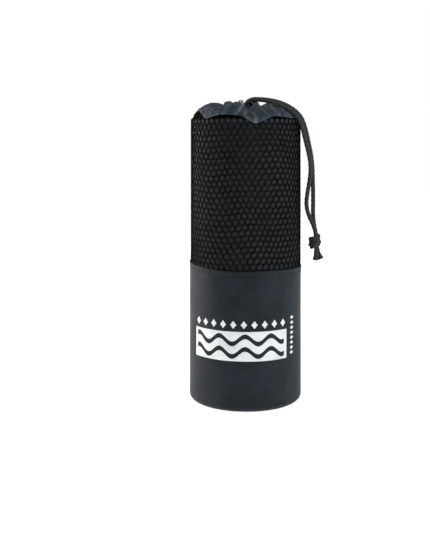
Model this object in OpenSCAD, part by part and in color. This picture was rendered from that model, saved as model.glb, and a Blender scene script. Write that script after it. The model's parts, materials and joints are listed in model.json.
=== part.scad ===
// Quick-dry towel, rolled up in its drawstring pouch.
// Millimetres, +Z up. The origin is the centre of the pouch's underside and the front faces -Y.
// Bearings turn from the front (-Y) towards the right (+X).

/* [Pouch] */
// Outer diameter just above the rounded foot
foot_d = 78.4; // [77.6:0.2:79.6]
// Outer diameter at the shoulder, where the casing starts
shoulder_d = 76; // [75.6:0.2:76.4]
// Height of the wall, from the ground to the shoulder
wall_h = 195; // [194:1:198]
// Height of the woven sleeve, from the ground to the waist seam
sleeve_h = 93; // [70:1:120]
// Thickness of the wall cloth
cloth_t = 0.8; // [0.6:0.1:0.8]
// Radius of the foot's rounding
foot_round = 4; // [3:0.5:5]

/* [Seams] */
// Thickness of the tapes and seam allowances inside the pouch
tape_t = 0.5; // [0.3:0.1:0.5]
// Height of the waist tape
waist_tape_h = 8; // [6:1:10]
// Height of the tape under the casing
mouth_tape_h = 4.5; // [3:0.5:6]
// Width of the binding on the base seam
binding_w = 1.8; // [1:0.1:3]
// Bearing of the side seams
side_seam_bearing = 180; // [150:5:210]
// Width of the side seams' allowance, in degrees round the pouch
side_seam_angle = 8; // [5:1:12]
// Diameter of the sewing thread
thread_d = 0.6; // [0.4:0.1:0.8]

/* [Casing] */
// Number of gathers that the cord pulls the casing into
gather_count = 7; // [7:1:7]
// Bearing of the fold that the drawcord comes out of
exit_bearing = 4.5; // [4.5:0.5:4.5]
// Radius of the cord's ring when the mouth is drawn in
ring_r = 20.5; // [20.5:0.5:21]
// Height of the cord's ring when the mouth is drawn in
ring_z = 203.5; // [203.4:0.1:203.5]
// How far the gathers' backs bulge over the straight line from shoulder to ring
bulge = 2.6; // [2:0.1:2.8]
// Thickness of the folded casing
casing_t = 1; // [0.8:0.1:1.2]
// Gap between two gathers, in degrees
gather_gap = 0.6; // [0.4:0.1:1]
// Outer radius of the tunnel
tunnel_r = 2.3; // [2.2:0.1:2.3]
// Radius of the hole that both strands come out of
exit_r = 4; // [3.9:0.1:4.2]

/* [Drawcord] */
// Diameter of the cord
cord_d = 3; // [2.8:0.1:3]
// Radial clearance of the cord in its tunnel
cord_play = 0.1; // [0.05:0.01:0.2]
// Width of the knot
knot_d = 8.8; // [8:0.2:9.2]
// Height of the knot
knot_h = 10.6; // [9.6:0.2:11]

/* [Towel] */
// Diameter of the rolled towel
towel_d = 72; // [70:0.5:72]
// Height of the roll: the towel's width folded in four
towel_h = 190; // [185:1:190]
// Thickness of the overlocked edge
edge_t = 0.35; // [0.2:0.05:0.35]
// Width of the overlocked edge, in degrees round the roll
edge_angle = 9; // [6:1:12]
// Top of the hanging loop
loop_top = 209.4; // [206:0.1:210]
// Width of the hanging loop across its arch
loop_w = 7.6; // [6:0.2:8]
// Width of the loop's strap
strap_w = 4.4; // [3.6:0.2:5]
// Thickness of the loop's strap
strap_t = 0.9; // [0.6:0.1:1.2]

/* [Hidden] */
$fn = 96;
shoulder_r = shoulder_d / 2;
foot_r = foot_d / 2;
step = 360 / gather_count;
towel_z = cloth_t + tape_t + 0.3;
towel_top = towel_z + towel_h;
towel_r = towel_d / 2;
base_r = foot_r - foot_round;
casing_gap = 0.2;
arc_steps = 8;
cord_sides = 8;
knot_at = [48.2, -5.9, 110.1];
knot_pinch = 0.62;
loop_at = [-3.5, 11.5];
tail_end_d = 3.8;

// Routes of the two strands, from the casing over the right shoulder to the knot.
front_route = [
    [-0.2, -22, 203.8], [0.8, -22.1, 205.2], [2.1, -22.3, 206.3], [3.6, -22.6, 207], [5.6, -22.9, 207.3],
    [8.8, -23.2, 207.3], [12.4, -23.3, 206.9], [17, -23, 206.1], [22, -22.2, 204.6], [26.6, -21.4, 202.7],
    [30.7, -20.5, 200.2], [34.1, -19.4, 197.1], [36.6, -17.9, 193.2], [38.1, -16.1, 188.6],
    [39.5, -14.2, 183.4], [41.1, -12.2, 177.6], [42.6, -10.4, 172], [43.8, -8.9, 166.2], [44.2, -8, 160],
    [43.6, -7.7, 153], [42.5, -7.7, 146], [41.7, -7.7, 139], [42.2, -7.7, 133.4], [44, -7.7, 128],
    [46.2, -7.7, 123.2], [47.7, -7.7, 119], [48.1, -7.7, 117], [48.1, -7.7, 115.4]];
back_route = [
    [-0.2, -18.7, 204.1], [0.8, -18.8, 205.5], [2.1, -18.9, 206.7], [3.6, -19.1, 207.4], [5.6, -19.4, 207.8],
    [8.4, -19.7, 207.8], [12.6, -19.7, 207.5], [17.6, -19.3, 206.8], [22.8, -18.5, 205.5], [28, -17.6, 203.3],
    [32.7, -16.5, 200.3], [36.3, -15.1, 196.8], [38.8, -13.4, 192.4], [40.6, -11.5, 187], [42.1, -9.6, 181.4],
    [43.5, -7.7, 175.6], [44.8, -6, 169.6], [45.6, -4.8, 163.6], [46, -4.2, 157.6], [46.2, -4.1, 151.6],
    [46.4, -4.1, 145.6], [46.5, -4.1, 138.6], [46.5, -4.1, 132], [46.9, -4.1, 126], [47.8, -4.1, 120.6],
    [48.5, -4.1, 117], [48.5, -4.1, 115.4]];
tail_1_route = [[49, -7.4, 104.8], [49, -7.4, 103.6], [49, -7.4, 100.4], [48.9, -7.4, 97]];
tail_2_route = [[49.6, -4.2, 104.7], [49.6, -4.2, 103.6], [50.9, -4.3, 100.4], [52.6, -4.4, 97.6]];

// Outer radius of the wall at a height above the foot's rounding.
function wall_r(z) = shoulder_r + (foot_r - shoulder_r) * (wall_h - z) / (wall_h - foot_round);

// Points of an arc round centre c, from angle a to angle b.
function arc(c, r, a, b, n = arc_steps) =
    [for (i = [0:n]) let (t = a + (b - a) * i / n) c + r * [cos(t), sin(t)]];

// Outline of a tape that lies inside the wall from z0 to z1.
function inner_tape(z0, z1) = [
    [wall_r(z0) - cloth_t, z0], [wall_r(z1) - cloth_t, z1],
    [wall_r(z1) - cloth_t - tape_t, z1], [wall_r(z0) - cloth_t - tape_t, z0]
];

// The gathers' outer line, as an arc from the shoulder to the cord's ring.
casing_foot = [shoulder_r, wall_h + casing_gap];
casing_top = [ring_r, ring_z + tunnel_r - 0.1];
casing_chord = casing_top - casing_foot;
casing_len = norm(casing_chord);
casing_r = (pow(casing_len / 2, 2) + pow(bulge, 2)) / (2 * bulge);
casing_up = [casing_chord[1], -casing_chord[0]] / casing_len;
casing_c = (casing_foot + casing_top) / 2 - casing_up * (casing_r - bulge);
casing_a = atan2(casing_foot[1] - casing_c[1], casing_foot[0] - casing_c[0]);
casing_b = atan2(casing_top[1] - casing_c[1], casing_top[0] - casing_c[0]);
casing_a_in = asin((casing_foot[1] - casing_c[1]) / (casing_r - casing_t));

// Turns an outline round the axis, from one bearing over an angle.
module turned(from = 0, angle = 360) {
    rotate([0, 0, from - 90]) rotate_extrude(angle = angle) children();
}

// Places children on one gather's share of the ring.
module gather_span(k) {
    turned(exit_bearing + (k - 1) * step + gather_gap / 2, step - gather_gap) children();
}

// Direction of a route at one of its points.
function along(p, i) = let (a = p[max(i - 1, 0)], b = p[min(i + 1, len(p) - 1)]) (b - a) / norm(b - a);
// Points of a ring round c, square to direction d.
function ring(c, d, r) =
    let (u0 = cross(d, [0, 1, 0]), u = u0 / norm(u0), v = cross(d, u))
    [for (s = [0:cord_sides - 1]) let (t = s * 360 / cord_sides) c + r * (cos(t) * u + sin(t) * v)];

// A tube swept along a route, from one diameter to another.
module swept(p, d0, d1) {
    n = len(p);
    m = cord_sides;
    points = [for (i = [0:n - 1]) each ring(p[i], along(p, i), (d0 + (d1 - d0) * i / (n - 1)) / 2)];
    sides = [for (i = [0:n - 2], s = [0:m - 1]) let (t = (s + 1) % m)
        [i * m + s, i * m + t, (i + 1) * m + t, (i + 1) * m + s]];
    first = [for (s = [m - 1:-1:0]) s];
    last = [for (s = [0:m - 1]) (n - 1) * m + s];
    polyhedron(points, concat([first], sides, [last]));
}

// Pouch

module base_disc() {
    color("#2b303a") cylinder(h = cloth_t, r = base_r);
}

module base_seam_binding() {
    color("#1c2026") translate([0, 0, cloth_t])
        difference() {
            cylinder(h = tape_t, r = base_r);
            translate([0, 0, -1]) cylinder(h = tape_t + 2, r = base_r - binding_w);
        }
}

module lower_sleeve() {
    foot_c = [base_r, foot_round];
    color("#2b303c") turned() polygon(concat(
        arc(foot_c, foot_round, -90, 0),
        [[wall_r(sleeve_h), sleeve_h], [wall_r(sleeve_h) - cloth_t, sleeve_h]],
        arc(foot_c, foot_round - cloth_t, 0, -90)));
}

module sleeve_side_seam() {
    color("#242833") turned(side_seam_bearing - side_seam_angle / 2, side_seam_angle)
        polygon(inner_tape(foot_round + 2, sleeve_h - waist_tape_h / 2 - 0.5));
}

module net_sleeve() {
    color("#141414") turned() polygon([
        [wall_r(sleeve_h), sleeve_h], [shoulder_r, wall_h],
        [shoulder_r - cloth_t, wall_h], [wall_r(sleeve_h) - cloth_t, sleeve_h]]);
}

module net_side_seam() {
    color("#101010") turned(side_seam_bearing - side_seam_angle / 2, side_seam_angle)
        polygon(inner_tape(sleeve_h + waist_tape_h / 2 + 0.5, wall_h - mouth_tape_h - 0.5));
}

module waist_tape() {
    color("#1c2026") turned()
        polygon(inner_tape(sleeve_h - waist_tape_h / 2, sleeve_h + waist_tape_h / 2));
}

module waist_stitching() {
    z = sleeve_h - 2.5;
    color("#3c4454") turned() translate([wall_r(z) + thread_d / 2 + 0.02, z]) circle(d = thread_d, $fn = 16);
}

module mouth_tape() {
    color("#1c2026") turned() polygon(inner_tape(wall_h - mouth_tape_h, wall_h));
}

// The hole between the first and the last gather.
module cord_exit() {
    rotate([0, 0, exit_bearing - 90]) translate([ring_r, 0, ring_z - 10]) cylinder(h = 20, r = exit_r);
}

module gather(k) {
    color("#37404f") difference() {
        gather_shell(k);
        if (k == 1 || k == gather_count) cord_exit();
    }
}

module gather_shell(k) {
    gather_span(k) difference() {
        union() {
            polygon(concat(
                arc(casing_c, casing_r, casing_a, casing_b),
                arc(casing_c, casing_r - casing_t, casing_b, casing_a_in)));
            translate([ring_r, ring_z]) circle(r = tunnel_r, $fn = 32);
        }
        translate([ring_r, ring_z]) circle(r = cord_d / 2 + cord_play, $fn = 32);
    }
}

// Drawcord

module drawcord_run(k) {
    color("#262c2e") difference() {
        gather_span(k) translate([ring_r, ring_z]) circle(d = cord_d, $fn = 32);
        if (k == 1 || k == gather_count) cord_exit();
    }
}

module drawcord_front() {
    color("#262c2e") swept(front_route, cord_d, cord_d);
}

module drawcord_back() {
    color("#262c2e") swept(back_route, cord_d, cord_d);
}

module cord_knot() {
    half = knot_h / 2;
    belly = knot_d / 2;
    neck = belly * knot_pinch + 1;
    color("#20262a") translate([knot_at[0], knot_at[1], knot_at[2]]) rotate_extrude()
        polygon([[0, -half], [neck, -half], [belly, -half / 2], [belly, half / 2], [neck, half], [0, half]]);
}

module cord_tail_1() {
    color("#20262a") swept(tail_1_route, cord_d, tail_end_d);
}

module cord_tail_2() {
    color("#20262a") swept(tail_2_route, cord_d, tail_end_d);
}

// Towel

module towel_roll() {
    color("#3a3c3f") translate([0, 0, towel_z]) cylinder(h = towel_h, r = towel_r);
}

module towel_edge_stitching() {
    color("#2c2e31") turned(side_seam_bearing + 40, edge_angle) polygon([
        [towel_r, towel_z + 2], [towel_r + edge_t, towel_z + 2],
        [towel_r + edge_t, towel_top - 2], [towel_r, towel_top - 2]]);
}

module hang_loop() {
    rise = loop_top - towel_top - loop_w / 2;
    color("#b9b09c") translate([loop_at[0] - strap_w / 2, loop_at[1], towel_top])
        rotate([90, 0, 90]) linear_extrude(height = strap_w) difference() {
            union() {
                translate([0, rise]) circle(d = loop_w);
                translate([-loop_w / 2, 0]) square([loop_w, rise]);
            }
            translate([0, rise]) circle(d = loop_w - 2 * strap_t);
            translate([-loop_w / 2 + strap_t, -1]) square([loop_w - 2 * strap_t, rise + 1]);
        }
}

base_disc();
base_seam_binding();
lower_sleeve();
sleeve_side_seam();
net_sleeve();
net_side_seam();
waist_tape();
waist_stitching();
mouth_tape();
gather(1);  // gather_1
gather(2);  // gather_2
gather(3);  // gather_3
gather(4);  // gather_4
gather(5);  // gather_5
gather(6);  // gather_6
gather(7);  // gather_7
drawcord_run(1);  // drawcord_run_1
drawcord_run(2);  // drawcord_run_2
drawcord_run(3);  // drawcord_run_3
drawcord_run(4);  // drawcord_run_4
drawcord_run(5);  // drawcord_run_5
drawcord_run(6);  // drawcord_run_6
drawcord_run(7);  // drawcord_run_7
drawcord_front();
drawcord_back();
cord_knot();
cord_tail_1();
cord_tail_2();
towel_roll();
towel_edge_stitching();
hang_loop();
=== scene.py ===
import json
import math

import bmesh
import bpy
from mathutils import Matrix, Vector
import numpy as np


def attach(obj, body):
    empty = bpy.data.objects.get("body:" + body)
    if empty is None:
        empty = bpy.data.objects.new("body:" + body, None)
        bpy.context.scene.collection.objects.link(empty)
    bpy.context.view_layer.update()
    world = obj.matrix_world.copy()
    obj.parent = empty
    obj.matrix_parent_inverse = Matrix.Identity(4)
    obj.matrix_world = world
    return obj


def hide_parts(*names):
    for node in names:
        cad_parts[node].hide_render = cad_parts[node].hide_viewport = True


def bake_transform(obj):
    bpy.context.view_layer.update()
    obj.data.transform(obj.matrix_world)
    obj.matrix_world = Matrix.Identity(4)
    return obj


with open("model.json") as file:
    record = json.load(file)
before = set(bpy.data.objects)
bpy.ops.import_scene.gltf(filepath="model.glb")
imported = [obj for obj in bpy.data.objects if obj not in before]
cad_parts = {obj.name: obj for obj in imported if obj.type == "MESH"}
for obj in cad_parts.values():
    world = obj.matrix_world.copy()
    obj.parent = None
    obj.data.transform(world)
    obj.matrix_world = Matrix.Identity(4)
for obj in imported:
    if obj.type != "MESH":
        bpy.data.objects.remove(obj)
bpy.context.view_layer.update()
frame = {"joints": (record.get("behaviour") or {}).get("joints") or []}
rng = np.random.RandomState(7)
PI = math.pi
MM = 0.001


# Small maths helpers. Lengths in this script are millimetres until a mesh is made, and bearings are radians
# from the front (-Y) towards +X.

def smooth(t):
    t = np.clip(t, 0, 1)
    return t * t * (3 - 2 * t)


def wrap(deg):
    return (deg + 180) % 360 - 180


def bump(deg, at, half):
    """1 at one bearing, falling smoothly to 0 at half degrees either side."""
    return smooth(1 - np.abs(wrap(deg - at)) / half)


def round_point(r, bearing, z):
    return np.stack(np.broadcast_arrays(r * np.sin(bearing), -r * np.cos(bearing), z), -1)


def pairs(a, b):
    return np.stack(np.broadcast_arrays(a, b), -1)


def wall_r(z):
    """Radius of the pouch's plain wall, which narrows a little from foot to shoulder."""
    return 38 + 1.2 * (195 - z) / 191


def distance(path):
    """Distance along a path at each of its points."""
    return np.r_[0, np.cumsum(np.linalg.norm(np.diff(path, axis=0), axis=1))]


def along(at, s, values):
    """Columns of values, known at distances s, at other distances."""
    return np.stack([np.interp(at, s, column) for column in values.T], -1)


def direction(path):
    way = np.gradient(path, axis=0)
    return way / np.linalg.norm(way, axis=1)[:, None]


def beside(line):
    """Direction across a flat line at each of its points."""
    way = direction(line)
    return np.stack([-way[:, 1], way[:, 0]], -1)


def spline(points, step):
    """Smooth curve through the points, as evenly spaced points."""
    p = np.asarray(points, float)
    p = np.vstack([2 * p[0] - p[1], p, 2 * p[-1] - p[-2]])
    out = []
    for a, b, c, d in zip(p[:-3], p[1:-2], p[2:-1], p[3:]):
        t = np.linspace(0, 1, 17)[:-1, None]
        out.append(0.5 * (2 * b + (c - a) * t + (2 * a - 5 * b + 4 * c - d) * t**2
                          + (3 * b - a - 3 * c + d) * t**3))
    out = np.vstack(out + [p[-2:-1]])
    s = distance(out)
    n = max(2, int(round(s[-1] / step)))
    return along(np.linspace(0, s[-1], n + 1), s, out)


def frames(path):
    """The path's direction and two directions across it, without twist, at each of its points."""
    t = direction(path)
    u = np.zeros_like(t)
    a = np.cross(t[0], [0.3, 1, 0.2])
    u[0] = a / np.linalg.norm(a)
    for i in range(1, len(t)):
        a = u[i - 1] - t[i] * (u[i - 1] @ t[i])
        u[i] = a / np.linalg.norm(a)
    return t, u, np.cross(t, u)


# Mesh helpers. A part is (points, faces, each point's place on the flat cloth, index of its material).

def make(name, parts, materials):
    """One mesh object from parts, in millimetres."""
    v, f, l, w, n = [], [], [], [], 0
    for verts, faces, lay, which in parts:
        verts = np.reshape(verts, (-1, 3))
        lay = np.reshape(lay, (len(verts), -1))
        v.append(verts)
        f.append(faces + n)
        l.append(np.c_[lay, np.zeros((len(verts), 3 - lay.shape[1]))])
        w.append(np.full(len(faces), which))
        n += len(verts)
    faces = np.vstack(f)
    count, corners = faces.shape
    mesh = bpy.data.meshes.new(name)
    mesh.vertices.add(n)
    mesh.vertices.foreach_set("co", (np.vstack(v) * MM).astype(np.float32).ravel())
    mesh.loops.add(count * corners)
    mesh.loops.foreach_set("vertex_index", faces.astype(np.int32).ravel())
    mesh.polygons.add(count)
    mesh.polygons.foreach_set("loop_start", (np.arange(count) * corners).astype(np.int32))
    mesh.update(calc_edges=True)
    mesh.validate()
    lay = mesh.attributes.new("lay", "FLOAT_VECTOR", "POINT")
    lay.data.foreach_set("vector", np.vstack(l).astype(np.float32).ravel())
    for material in materials:
        mesh.materials.append(material)
    mesh.polygons.foreach_set("material_index", np.concatenate(w).astype(np.int32))
    mesh.polygons.foreach_set("use_smooth", np.full(count, True))
    mesh.update()
    return linked(name, mesh)


def linked(name, data):
    obj = bpy.data.objects.new(name, data)
    bpy.context.scene.collection.objects.link(obj)
    return obj


def grid_faces(rows, cols, loop_rows=False, loop_cols=False):
    i = np.arange(rows if loop_rows else rows - 1)
    j = np.arange(cols if loop_cols else cols - 1)
    i, j = np.meshgrid(i, j, indexing="ij")
    a, b = (i + 1) % rows, (j + 1) % cols
    return np.stack([i * cols + j, i * cols + b, a * cols + b, a * cols + j], -1).reshape(-1, 4)


def outward(obj):
    """Turns every face of a closed piece outwards."""
    bm = bmesh.new()
    bm.from_mesh(obj.data)
    bmesh.ops.recalc_face_normals(bm, faces=bm.faces)
    bm.to_mesh(obj.data)
    bm.free()
    obj.data.update()


def tube(path, radius, sides, relief=None, which=0):
    """Part: a closed tube along a path. radius is one number or one for each point."""
    t, u, w = frames(path)
    a = np.arange(sides) * 2 * PI / sides
    s = distance(path)
    r = np.broadcast_to(np.asarray(radius, float), (len(path),))[:, None] + np.zeros((1, sides))
    if relief is not None:
        r = r + relief(a[None, :], s[:, None])
    spoke = np.cos(a)[None, :, None] * u[:, None] + np.sin(a)[None, :, None] * w[:, None]
    v = (path[:, None] + r[..., None] * spoke).reshape(-1, 3)
    lay = pairs(a[None, :] * 1.5, s[:, None]).reshape(-1, 2)
    n, k, last = len(v), np.arange(0, sides, 2), (len(path) - 1) * sides
    v = np.vstack([v, path[:1] - t[:1] * 0.1, path[-1:] + t[-1:] * 0.1])
    lay = np.vstack([lay, lay[:1], lay[-1:]])
    start = [np.full(len(k), n), (k + 2) % sides, (k + 1) % sides, k]
    end = [np.full(len(k), n + 1), last + k, last + (k + 1) % sides, last + (k + 2) % sides]
    f = np.vstack([grid_faces(len(path), sides, loop_cols=True), np.stack(start, -1), np.stack(end, -1)])
    return v, f, lay, which


def stands_for(obj, node, body=None):
    """Hides the CAD node that a piece replaces, and ties the piece to the body it rides on if it doesn't
    bend.
    """
    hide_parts(node)
    if body:
        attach(obj, body)


# Materials. Patterns follow the cloth through each point's place on it, in millimetres.

def srgb(*levels):
    """Linear colour of red, green and blue levels from 0 to 255."""
    shares = (level / 255 for level in levels)
    return tuple(c / 12.92 if c <= 0.04045 else ((c + 0.055) / 1.055) ** 2.4 for c in shares) + (1,)


class Paint:
    """A node material under construction."""

    def __init__(self, name, **sockets):
        self.mat = bpy.data.materials.new(name)
        self.mat.use_nodes = True
        self.nt = self.mat.node_tree
        self.nt.nodes.clear()
        self.bsdf = self.node("BsdfPrincipled")
        self.nt.links.new(self.bsdf.outputs[0], self.node("OutputMaterial").inputs["Surface"])
        for key, value in sockets.items():
            self.bsdf.inputs[key.replace("_", " ")].default_value = value
        place = self.node("Attribute")
        place.attribute_name = "lay"
        self.lay = place.outputs["Vector"]
        self.u, self.v = self.node("SeparateXYZ", self.lay).outputs[:2]

    def node(self, kind, *values):
        """A new node with its first inputs set or linked."""
        n = self.nt.nodes.new("ShaderNode" + kind)
        for socket, value in zip(n.inputs, values):
            self.put(socket, value)
        return n

    def put(self, socket, value):
        if hasattr(value, "is_output"):
            self.nt.links.new(value, socket)
        else:
            socket.default_value = value

    def math(self, op, a, b=0.0):
        n = self.node("Math", a, b)
        n.operation = op
        return n.outputs[0]

    def sin(self, x, pitch):
        """Sine of x with one full wave in pitch millimetres."""
        return self.math("SINE", self.math("MULTIPLY", x, 2 * PI / pitch))

    def noise(self, scale, detail=3.0, rough=0.55, vector=None):
        n = self.node("TexNoise", self.lay if vector is None else vector)
        n.inputs["Scale"].default_value = scale
        n.inputs["Detail"].default_value = detail
        n.inputs["Roughness"].default_value = rough
        return n.outputs["Fac"]

    def stretched(self, x, y):
        n = self.node("Mapping", self.lay)
        n.inputs["Scale"].default_value = (x, y, 1)
        return n.outputs[0]

    def ramp(self, fac, *stops):
        """Grey levels or colours at places from 0 to 1."""
        n = self.node("ValToRGB", fac)
        for element, (at, colour) in zip(n.color_ramp.elements, stops):
            element.position = at
            element.color = colour if isinstance(colour, tuple) else (colour, colour, colour, 1)
        return n.outputs[0]

    def mix(self, fac, a, b):
        n = self.node("Mix", fac)
        n.data_type = "RGBA"
        self.put(n.inputs[6], a)
        self.put(n.inputs[7], b)
        return n.outputs[2]

    def span(self, x, lo, hi):
        """x, which runs from 0 to 1, spread over lo to hi."""
        n = self.node("MapRange", x)
        n.inputs[3].default_value, n.inputs[4].default_value = lo, hi
        return n.outputs[0]

    def weave(self, pitch):
        """Plain weave: each thread over one and under one. From -1 to 1."""
        return self.math("MULTIPLY", self.sin(self.u, 2 * pitch), self.sin(self.v, 2 * pitch))

    def finish(self, colour, rough, *heights):
        """Sets colour, roughness and bumps on top of each other, as (height, distance in mm)."""
        self.put(self.bsdf.inputs["Base Color"], colour)
        self.put(self.bsdf.inputs["Roughness"], rough)
        last = None
        for height, deep in heights:
            n = self.node("Bump")
            n.inputs["Strength"].default_value = 1.0
            n.inputs["Distance"].default_value = deep * MM
            self.put(n.inputs["Height"], height)
            if last is not None:
                self.nt.links.new(last, n.inputs["Normal"])
            last = n.outputs[0]
        if last is not None:
            self.nt.links.new(last, self.bsdf.inputs["Normal"])
        return self.mat


def cloth(name, dark, light, tint, pitch=0.42, wrinkle=0.35, sheen=0.06, roughness=0.62, painted_ridge_light=None):
    """Closely woven nylon: thread by thread relief, slubs, cloudy dye and soft wrinkles."""
    m = Paint(name, Sheen_Weight=sheen, Sheen_Roughness=0.45, Specular_IOR_Level=0.16)
    threads = m.weave(pitch)
    slubs = [m.noise(1.0, 2.0, vector=m.stretched(*way)) for way in ((0.35, 4.0), (4.0, 0.35))]
    base = m.ramp(m.noise(0.055, 4.0), (0.38, dark), (0.62, light))
    base = m.mix(m.span(m.noise(0.16, 3.0), 0.0, 0.5), base, tint)
    if painted_ridge_light:
        # Painted shade: the cloth is darkened in noise streaks that stand for its creases. Painted highlight:
        # it is lightened in streaks that stand for light on its ridges and also for rubbed wear.
        painted_fold_shading = m.noise(1.0, 3.0, vector=m.stretched(0.24, 0.06))
        base = m.mix(m.ramp(painted_fold_shading, (0.34, 0.75), (0.5, 0)), base, dark)
        base = m.mix(m.ramp(painted_fold_shading, (0.5, 0), (0.68, 0.85)), base, painted_ridge_light)
    fine = m.math("MULTIPLY", m.math("ADD", *slubs), 0.5)
    base = m.mix(m.span(fine, 0.0, 0.65), base, m.mix(0.55, base, (0, 0, 0, 1)))
    base = m.mix(m.span(m.math("ADD", m.math("MULTIPLY", threads, 0.5), 0.5), 0.0, 0.3), base, light)
    return m.finish(base, m.span(fine, roughness - 0.12, roughness + 0.14),
                    (m.noise(0.09, 3.0), wrinkle), (fine, 0.05), (threads, 0.035))


def twill(name, dark, light):
    """Narrow woven tape with diagonal ribs."""
    m = Paint(name, Sheen_Weight=0.05, Specular_IOR_Level=0.25)
    rib = m.sin(m.math("ADD", m.u, m.v), 1.1)
    fuzz = m.noise(2.2, 3.0)
    return m.finish(m.mix(m.span(rib, 0.25, 0.75), m.mix(fuzz, dark, light), light),
                    m.span(fuzz, 0.6, 0.85), (rib, 0.06), (fuzz, 0.05))


BRAID_PITCH = 3.4


def braided(name, dark, light, tint):
    """Braided cord: two sets of strands crossing, with fuzz."""
    m = Paint(name, Sheen_Weight=0.08, Sheen_Roughness=0.4, Specular_IOR_Level=0.3)
    around, on = m.math("MULTIPLY", m.u, 8 / 3), m.math("MULTIPLY", m.v, 2 * PI / BRAID_PITCH)
    one, two = (m.math("SINE", m.math(op, around, on)) for op in ("ADD", "SUBTRACT"))
    braid = m.math("MAXIMUM", one, two)
    fuzz = m.noise(3.0, 3.0)
    base = m.ramp(braid, (0.1, dark), (0.95, light))
    base = m.mix(m.span(m.noise(0.12, 3.0), 0.0, 0.45), base, tint)
    return m.finish(m.mix(m.span(fuzz, 0.0, 0.5), base, dark), m.span(fuzz, 0.5, 0.78),
                    (braid, 0.08), (fuzz, 0.06))


def netting():
    m = Paint("net_knit", Specular_IOR_Level=0.04)
    fibre = m.noise(1.0, 3.0, vector=m.stretched(1.2, 5.0))
    fine = m.noise(4.0, 2.0)
    return m.finish(m.ramp(fibre, (0.25, srgb(0, 0, 0)), (0.8, srgb(5, 5, 6))), m.span(fine, 0.36, 0.62),
                    (fibre, 0.12), (fine, 0.05))


def terry():
    """Microfibre: small loops under a brushed nap."""
    m = Paint("towel_microfibre", Sheen_Weight=0.12, Sheen_Roughness=0.6, Specular_IOR_Level=0.15)
    voronoi = m.node("TexVoronoi", m.lay)
    voronoi.inputs["Scale"].default_value = 1.6
    cells = voronoi.outputs["Distance"]
    nap = m.noise(2.6, 4.0, 0.65)
    base = m.ramp(nap, (0.28, srgb(32, 32, 33)), (0.75, srgb(66, 66, 68)))
    base = m.mix(m.span(m.noise(0.08, 3.0), 0.0, 0.4), base, srgb(46, 47, 50))
    return m.finish(m.mix(m.span(cells, 0.0, 0.5), base, srgb(30, 30, 33)), m.span(nap, 0.82, 1.0),
                    (m.noise(0.15, 3.0), 0.5), (cells, 0.25), (nap, 0.25))


def stitched(name, dark, light):
    """Sewing thread: plies twisted round each other."""
    m = Paint(name, Sheen_Weight=0.05, Specular_IOR_Level=0.3)
    ply = m.sin(m.math("ADD", m.v, m.math("MULTIPLY", m.u, 0.6)), 0.5)
    fuzz = m.noise(5.0, 2.0)
    return m.finish(m.mix(m.span(ply, 0.2, 0.8), dark, light), m.span(fuzz, 0.45, 0.7),
                    (ply, 0.05), (fuzz, 0.03))


def printed():
    """Printed ink: an off-white film that lets the weave through and has small pinholes."""
    m = Paint("print_ink", Sheen_Weight=0.1)
    threads = m.weave(0.42)
    grain = m.noise(1.1, 4.0, 0.6)
    cloud = m.noise(0.1, 3.0)
    base = m.ramp(cloud, (0.3, srgb(206, 213, 216)), (0.7, srgb(229, 234, 235)))
    return m.finish(m.mix(m.ramp(grain, (0.62, 0), (0.8, 0.5)), base, srgb(120, 128, 138)),
                    m.span(grain, 0.42, 0.62), (cloud, 0.1), (threads, 0.03), (grain, 0.03))


def webbing():
    m = Paint("loop_webbing", Sheen_Weight=0.25)
    zig = m.math("ABSOLUTE", m.sin(m.u, 4.0))
    rib = m.sin(m.math("ADD", m.v, m.math("MULTIPLY", zig, 1.2)), 0.9)
    fuzz = m.noise(2.5, 3.0)
    return m.finish(m.mix(m.span(rib, 0.2, 0.8), srgb(138, 138, 126), srgb(188, 188, 174)),
                    m.span(fuzz, 0.65, 0.85), (rib, 0.08), (fuzz, 0.05))


SLEEVE = cloth("sleeve_cloth", srgb(15, 22, 27), srgb(31, 39, 50), srgb(23, 36, 35), wrinkle=0.3)
# The casing cloth has painted shade in its creases and a painted highlight colour on its ridges.
CASING = cloth("casing_cloth", srgb(16, 21, 40), srgb(60, 72, 87), srgb(44, 58, 59), pitch=0.38, wrinkle=0.8,
               sheen=0.1, roughness=0.5, painted_ridge_light=srgb(104, 118, 120))
LINING = cloth("casing_lining", srgb(70, 80, 78), srgb(112, 122, 116), srgb(96, 108, 100), pitch=0.38,
               wrinkle=0.4, sheen=0.12)
TAPE = twill("seam_tape", srgb(20, 23, 28), srgb(38, 42, 50))
CORD = braided("drawcord_braid", srgb(20, 24, 26), srgb(50, 57, 58), srgb(38, 46, 44))
CUT = braided("drawcord_cut_end", srgb(10, 11, 12), srgb(26, 28, 30), srgb(16, 18, 20))
NET = netting()
TOWEL = terry()
THREAD = stitched("pouch_thread", srgb(30, 34, 42), srgb(74, 84, 98))
TOWEL_THREAD = stitched("towel_thread", srgb(26, 28, 30), srgb(58, 60, 64))
LOOP = webbing()
INK = printed()


# Camera: on the photo's line of sight, nearly level, with the object right of the middle.
CAMERA_Y, CAMERA_Z, LENS = -0.600, 0.1806, 58.0
PITCH, YAW, SHIFT_Y = 5.2, 2.024, -0.0921
cam_data = bpy.data.cameras.new("camera")
cam = linked("camera", cam_data)
cam.location = (0, CAMERA_Y, CAMERA_Z)
cam.rotation_euler = (math.radians(90 - PITCH), 0, math.radians(YAW))
cam_data.lens = LENS
cam_data.sensor_width = 36
cam_data.shift_y = SHIFT_Y
cam_data.clip_start, cam_data.clip_end = 0.01, 50
bpy.context.scene.camera = cam


# Drawcord: the two strands, their knot and the cut tails.

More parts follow.
